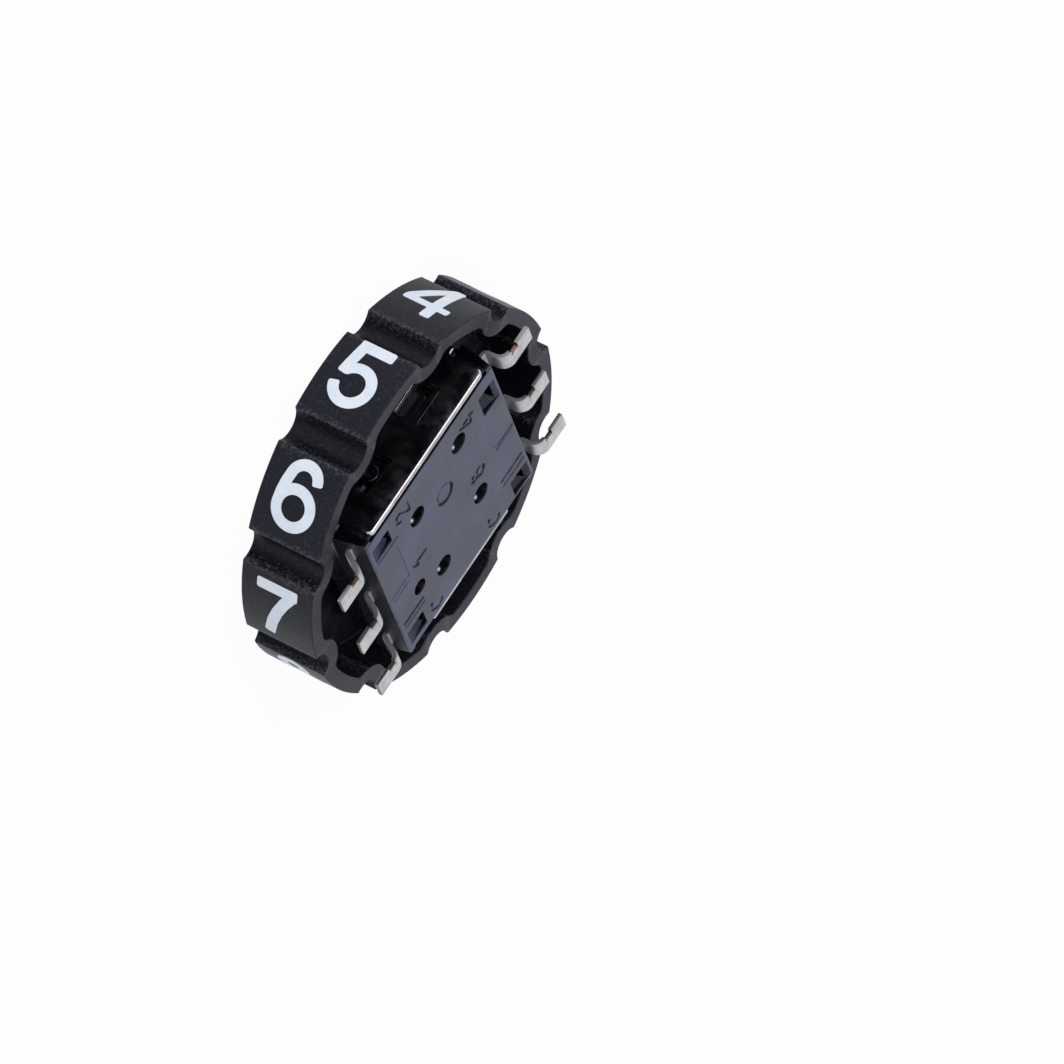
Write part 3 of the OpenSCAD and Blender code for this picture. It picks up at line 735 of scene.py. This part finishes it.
def mirrored(piece, name, axis):
    """A copy with its own mesh, mirrored through the middle."""
    select_only(piece)
    bpy.ops.object.duplicate()
    copy = bpy.context.active_object
    copy.name = name
    copy.scale = [-1 if a == axis else 1 for a in "xyz"]
    settle(copy)
    with editing(copy):
        face_outward()
    return copy


# The +Y row is bent square, the -Y row more gently. The right lead of a row mirrors the left one
row = {}
for side, marks, rise, run in ((1, ("4", "8", "common_a"), 88, 0.26),
                               (-1, ("2", "1", "common_b"), 63, 0.13)):
    left = lead("lead_" + marks[0], -PITCH, True, rise, run)
    pieces = (left, lead("lead_" + marks[1], 0, False, rise, run),
              mirrored(left, "lead_" + marks[2], "x"))
    for mark, x, piece in zip(marks, (-PITCH, 0, PITCH), pieces):
        edge = x - LEAD_W / 2
        cut(piece, block("tool", (edge - 1, TRIM_Y - TRIM_L / 2, 2.7),
                         (edge + TRIM_W, TRIM_Y + TRIM_L / 2, OUT)))
        row[mark] = piece if side > 0 else mirrored(piece, "lead_" + mark, "y")
        if side < 0:
            bpy.data.objects.remove(piece)
            row[mark].name = "lead_" + mark
        if mark in HOLES:
            x, y = HOLES[mark]
            pip = peg("tool", (x + 0.19, y - 0.13), PIP_R, CONTACT_Z + 0.1, PIP_TOP, 32)
            merge(row[mark], round_edges(pip, lambda m, way: m.z > PIP_TOP - 0.03, 0.06), "UNION")
        row[mark].data.materials.append(None)
        row[mark].data.materials.append(None)
        assign(row[mark], 1, lambda m, normal: abs(abs(m.y) - TIP) < 0.01 or (
            abs(abs(m.y) - TRIM_Y) < TRIM_L / 2 + 0.01 and m.x < edge + TRIM_W + 0.01))
        finish_edges(row[mark], 0.035)

# The feet are bright. The rise is duller, and the sheared sides are dark
plated_copper, tree, shader = new_finish("plated_copper", Metallic=1.0)
strip = use_group(tree, rolled_metal, {
    "Bright": (0.61, 0.585, 0.58, 1), "Dull": (0.38, 0.355, 0.35, 1), "Stretch": (1, 0.35, 0.35),
    "Grain": 11000.0, "Dulling": 0.65, "Smooth": 0.26, "Rough": 0.46})
side = ramp(tree, squareness(tree, "X"), 0.6, 0.9)
foot = ramp(tree, axis_of(tree, spot(tree), "Z"), 2.98 * MM, 3.08 * MM)
link(tree, shader, Base_Color=mix(tree, side, strip["Color"], (0.30, 0.29, 0.30, 1)),
     Roughness=ramp(tree, foot, 0.0, 1.0, 0.4, strip["Roughness"]),
     Metallic=ramp(tree, foot, 0.0, 1.0, 0.7), Normal=relief(tree, strip["Height"], 0.004))

bare_copper = plain_finish("bare_copper", rolled_metal, {
    "Bright": (0.36, 0.24, 0.21, 1), "Dull": (0.11, 0.08, 0.07, 1), "Stretch": (1, 1, 0.3),
    "Grain": 14000.0, "Dulling": 0.8, "Smooth": 0.3, "Rough": 0.5}, 0.004, Metallic=1.0)

for mark, piece in row.items():
    piece.data.materials[0] = plated_copper
    piece.data.materials[1] = bare_copper
    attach(piece, "housing")
    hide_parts("terminal_" + mark)


# ---- Thumbwheel ----
# Moulded in black plastic with a fine spark-eroded skin. Its rim has ten grip grooves, and the
# wall bulges in behind each. The closed face has a finger window, a gate recess and the shaft hole.

WHEEL_R, RIM_W, RIM_WALL, FACE_T = 5.9, 2.4, 0.48, 0.6
GROOVE_R, GROOVE_AT = 0.5, 6.0        # groove radius and distance of its centre from the axis
MOUTH_R, BLEND_R = 0.06, 0.35         # rounding of its mouth, fillet of the wall behind it
SECTOR = 36


def scalloped(name, radius, groove, fillet, low, high):
    """A solid disc from low to high, with an upright groove between every two sectors."""
    reach = radius - fillet
    open_angle = math.acos((reach ** 2 + GROOVE_AT ** 2 - (groove + fillet) ** 2)
                           / (2 * reach * GROOVE_AT))
    corner = Vector((reach * math.cos(open_angle), reach * math.sin(open_angle), 0))
    away = Vector((GROOVE_AT, 0, 0))
    lean = 180 - math.degrees((corner - away).angle(Vector((1, 0, 0))))
    open_angle = math.degrees(open_angle)
    other = Vector((corner.x, -corner.y, 0))
    first, second = (Matrix.Rotation(math.radians(turn), 3, "Z") for turn in (-SECTOR / 2, SECTOR / 2))
    start = first @ Vector((GROOVE_AT - groove, 0, 0))
    bpy.ops.object.select_all(action="DESELECT")
    bpy.ops.mesh.primitive_plane_add(size=1, location=(0, 0, 0))
    piece = bpy.context.active_object
    piece.name = name
    piece.rotation_euler = (math.pi / 2, 0, 0)
    piece.scale = (0.01 * MM, (high - low) * MM, 1)
    settle(piece)
    with editing(piece, "VERT"):
        bpy.ops.mesh.select_all(action="SELECT")
        bpy.ops.mesh.remove_doubles(threshold=0.02 * MM)
        bpy.ops.transform.translate(value=(start.x * MM, start.y * MM, (low + high) / 2 * MM))
        up = (0, 0, 1)
        sweep(first @ away, up, -lean, 10)
        sweep(first @ corner, up, lean + open_angle, 4)
        sweep((0, 0, 0), up, SECTOR - 2 * open_angle, 28)
        sweep(second @ other, up, lean + open_angle, 4)
        sweep(second @ away, up, -lean, 10)
        bpy.ops.mesh.select_all(action="SELECT")
        bpy.ops.mesh.spin(steps=9, dupli=True, angle=math.radians(9 * SECTOR), axis=up,
                          center=(0, 0, 0))
        bpy.ops.mesh.select_all(action="SELECT")
        bpy.ops.mesh.remove_doubles(threshold=0.001 * MM)
        bpy.ops.mesh.select_mode(type="EDGE")
        for end in (low, high):
            pick_edges(lambda m, way: abs(m.z - end) < 0.01)
            bpy.ops.mesh.edge_face_add()
        face_outward()
    return piece


def turned(name, middle, outline):
    """A round tool turned from an outline of radius and height, in mm, that starts on its axis."""
    low = outline[0][1]
    bpy.ops.object.select_all(action="DESELECT")
    bpy.ops.mesh.primitive_circle_add(vertices=96, radius=outline[1][0] * MM, fill_type="NGON",
                                      location=(middle[0] * MM, middle[1] * MM, low * MM))
    piece = bpy.context.active_object
    piece.name = name
    settle(piece)
    centre = (middle[0] * MM, middle[1] * MM, 0)
    with editing(piece):
        bpy.ops.mesh.select_all(action="SELECT")
        for (r0, z0), (r1, z1) in zip(outline[1:], outline[2:]):
            push(z=z1 - z0)
            bpy.ops.transform.resize(value=(r1 / r0, r1 / r0, 1), center_override=centre)
        face_outward()
    return piece


wheel = scalloped("thumbwheel_shell", WHEEL_R, GROOVE_R, MOUTH_R, 0, RIM_W)
cut(wheel, scalloped("tool", WHEEL_R - RIM_WALL, GROOVE_R + RIM_WALL, BLEND_R, FACE_T, RIM_W + 1))
with editing(wheel, "EDGE"):
    bpy.ops.mesh.edges_select_sharp(sharpness=math.radians(60))
    bpy.ops.mesh.bevel(offset=0.04 * MM, segments=3, affect="EDGES")

# Finger window, gate recess and shaft hole, with round lips, and the rotor's square drive
for middle, radius, depth, lip in (((0, -3.7), 1.3, 1.0, 0.04), ((-2.6, 0), 1.1, 0.35, 0.08),
                                   ((0, 0), 0.7, 1.0, 0.03)):
    cut(wheel, turned("tool", middle, [
        (0, -0.2), (radius + lip, -0.2), (radius + lip, 0), (radius + 0.4 * lip, 0.2 * lip),
        (radius, lip), (radius, depth)]))
DRIVE, DRIVE_Z = 0.95, 0.25
cut(wheel, block("tool", (-DRIVE, -DRIVE, DRIVE_Z), (DRIVE, DRIVE, 0.8)))

# The numerals are engraved one by one, each with its top towards the numeral before
NUMERAL_Z, ENGRAVE = 1.16, 0.12
LEAN = {4: 4.2, 5: 2.6, 6: 1.5, 7: 0.0}   # degrees back from the middle of the sector
OTHER_LEAN = 2.4


def tube(outer, inner):
    """A ring as high as the rim, almost, between two radii."""
    return cut(peg("tool", (0, 0), outer, 0.02, RIM_W - 0.02, 400),
               peg("tool", (0, 0), inner, -1, OUT, 400))


enamels = []
for number in range(10):
    tool = engraver(str(number))
    tool.matrix_world = (
        Matrix.Rotation(math.radians(number * SECTOR - LEAN.get(number, OTHER_LEAN)), 4, "Z")
        @ Matrix(((0, 0, 1, WHEEL_R * MM), (0, -1, 0, 0), (1, 0, 0, NUMERAL_Z * MM), (0, 0, 0, 1))))
    merge(settle(tool), tube(WHEEL_R + 0.3, WHEEL_R - ENGRAVE), "INTERSECT")
    select_only(tool)
    bpy.ops.object.duplicate()
    enamels.append(bpy.context.active_object)
    cut(wheel, tool)
finish_edges(wheel, 0.018, angle=50)


def groove_band_group():
    """Masks of the grooves of the rim, painted shade that dulls their gloss and is darkest on their
    walls, and of chafed dots along their lips. The angle runs from 0 in the middle of a sector to 18
    degrees in the middle of a groove."""
    tree, given, out = new_group(
        "groove_band", [("Width", FLOAT, 0.035), ("Grain", FLOAT, 13000)],
        [("Groove", FLOAT), ("Lip", FLOAT)])
    wall_start, wall_end, floor_start, floor_end, lip_at = (
        math.radians(degrees) for degrees in (13, 14, 14.5, 17, 12.9))
    where = spot(tree)
    upright = ramp(tree, squareness(tree, "Z"), 0.5, 0.8, 1.0, 0.0)
    angle = calc(tree, "ARCTAN2", axis_of(tree, where, "Y"), axis_of(tree, where, "X"))
    angle = calc(tree, "PINGPONG", angle, math.radians(SECTOR / 2))
    # painted shade across each groove: darkest on its walls, lighter in its middle
    groove = calc(tree, "MULTIPLY", ramp(tree, angle, wall_start, wall_end),
                  ramp(tree, angle, floor_start, floor_end, 1.0, 0.34))
    off = calc(tree, "ABSOLUTE", calc(tree, "SUBTRACT", angle, lip_at))
    lip = calc(tree, "ADD", ramp(tree, off, 0.0, given["Width"], 0.26, 0.0),
               noise(tree, where, given["Grain"], 1.0))
    link(tree, out, Groove=calc(tree, "MULTIPLY", groove, upright),
         Lip=ramp(tree, lip, 0.62, 0.86))
    return tree


wheel_plastic, tree, shader = new_finish("wheel_plastic", IOR=1.35)
body = use_group(tree, moulded_plastic, {
    "Body": (0.0013, 0.0015, 0.003, 1), "Filler": (0.09, 0.10, 0.14, 1), "Grain": 17000.0,
    "Specks": 0.11, "Clouds": 0.03, "Smooth": 0.38, "Rough": 0.48})
worn = use_group(tree, worn_edge, {"Amount": 0.5, "Size": 7000.0})["Mask"]
band = use_group(tree, groove_band_group(), {})
dots = calc(tree, "MAXIMUM", band["Lip"], worn, clamp=True)
link(tree, shader, Base_Color=mix(tree, dots, body["Color"], (0.045, 0.046, 0.056, 1)),
     # painted shade: the gloss in the grooves is tinted nearly black, darkest on their walls
     Specular_Tint=mix(tree, band["Groove"], (0.74, 0.79, 1.0, 1), (0.04, 0.045, 0.06, 1)),
     Roughness=body["Roughness"], Normal=relief(tree, body["Height"], 0.004))

mark_edges(wheel)
coat(wheel, wheel_plastic)
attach(wheel, "wheel")
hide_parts("thumbwheel")


# ---- Numerals ----
# White enamel wiped into the engraved numerals and cured flush with the rim. It is a little
# uneven, thinner in patches.

enamel, tree, shader = new_finish("enamel", IOR=1.5)
smears = noise(tree, spot(tree), 2600.0, 5.0, 0.7)
grain = noise(tree, spot(tree), 14000.0, 2.0)
thin = ramp(tree, smears, 0.36, 0.66)
link(tree, shader, Base_Color=mix(tree, thin, (0.72, 0.79, 0.90, 1), (0.82, 0.87, 0.95, 1)),
     Roughness=ramp(tree, smears, 0.0, 1.0, 0.35, 0.6), Normal=relief(tree, grain, 0.004))

PROUD = 0.004                         # the enamel stands this far out of the rim
for piece in enamels:
    merge(piece, tube(WHEEL_R + PROUD, WHEEL_R - 1), "INTERSECT")
for piece in enamels:
    piece.select_set(True)
bpy.context.view_layer.objects.active = enamels[0]
bpy.ops.object.join()
numerals = enamels[0]
numerals.name = "white_numerals"
bpy.ops.object.shade_smooth_by_angle(angle=math.radians(20))
coat(numerals, enamel)
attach(numerals, "wheel")
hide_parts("numerals")


# ---- Floor, light and view ----
# The switch lies with its closed face on a pale floor in a tent of soft light. A long lens
# looks over the rim at the board side, from the side of the numerals 4 to 7.

def blend(tree, factor, first, second):
    """Blends two shaders."""
    return place(tree, "ShaderNodeMixShader", {0: factor, 1: first, 2: second}).outputs[0]


def backdrop_white(tree, surface, share):
    """Shows plain white to the camera, in mirrors and through glass, over a part of the surface."""
    rays = place(tree, "ShaderNodeLightPath").outputs
    seen = calc(tree, "MAXIMUM", rays["Is Camera Ray"], rays["Is Glossy Ray"])
    seen = calc(tree, "MAXIMUM", seen, rays["Is Transmission Ray"])
    glow = place(tree, "ShaderNodeEmission", {"Color": (1, 1, 1, 1), "Strength": 1.0}).outputs[0]
    return blend(tree, calc(tree, "MULTIPLY", seen, share), surface, glow)


bpy.ops.object.select_all(action="DESELECT")
bpy.ops.mesh.primitive_plane_add(size=6, location=(0, 0, 0))
floor = bpy.context.active_object
floor.name = "floor"
paper = bpy.data.materials.new("white_paper")
paper.use_nodes = True
tree = paper.node_tree
tree.nodes.clear()
sheet = place(tree, "ShaderNodeBsdfDiffuse", {"Color": (0.82, 0.82, 0.83, 1)}).outputs[0]
under = place(tree, "ShaderNodeNewGeometry").outputs["Backfacing"]
clear = place(tree, "ShaderNodeBsdfTransparent").outputs[0]
place(tree, "ShaderNodeOutputMaterial", {
    "Surface": blend(tree, under, backdrop_white(tree, sheet, 0.95), clear)})
coat(floor, paper)

studio = bpy.data.worlds.new("studio")
bpy.context.scene.world = studio
studio.use_nodes = True
tree = studio.node_tree
tree.nodes.clear()
rays = place(tree, "ShaderNodeLightPath").outputs
lit, mirrored_tent, white = (
    place(tree, "ShaderNodeBackground", {"Color": (*colour, 1), "Strength": strength}).outputs[0]
    for colour, strength in (((0.96, 0.98, 1), 0.62), ((0.90, 0.94, 1), 1.0), ((1, 1, 1), 1.0)))
tent = blend(tree, rays["Is Glossy Ray"], lit, mirrored_tent)
seen = calc(tree, "MAXIMUM", rays["Is Camera Ray"], rays["Is Transmission Ray"])
place(tree, "ShaderNodeOutputWorld", {"Surface": blend(tree, seen, tent, white)})


def softbox(name, towards, distance, size, power):
    """A square lamp that faces the switch from a direction, in metres and watts."""
    data = bpy.data.lights.new(name, "AREA")
    data.size = size
    data.energy = power
    lamp = bpy.data.objects.new(name, data)
    bpy.context.scene.collection.objects.link(lamp)
    towards = Vector(towards).normalized()
    lamp.matrix_world = (Matrix.Translation(towards * distance)
                         @ towards.to_track_quat("Z", "Y").to_matrix().to_4x4())


camera_data = bpy.data.cameras.new("camera")
camera_data.sensor_width = 36
camera_data.lens = 324
camera_data.clip_start = 0.01
camera_data.clip_end = 10
camera = bpy.data.objects.new("camera", camera_data)
bpy.context.scene.collection.objects.link(camera)
# From the target, one direction is towards the lens and the other to the right of the view
back = Vector((-0.863, -0.309, 0.397)).normalized()
up = back.cross(Vector((0.186, 0.531, 0.825))).normalized()
right = up.cross(back)
target = Vector((0.914, 0.795, 5.018)) * MM
distance = 268 * MM
camera.matrix_world = (Matrix.Translation(target + back * distance)
                       @ Matrix((right, up, back)).transposed().to_4x4())
bpy.context.scene.camera = camera

softbox("key", (-0.80, 0.05, 0.60), 0.6, 0.35, 1.6)
bpy.context.scene.view_settings.view_transform = "Standard"
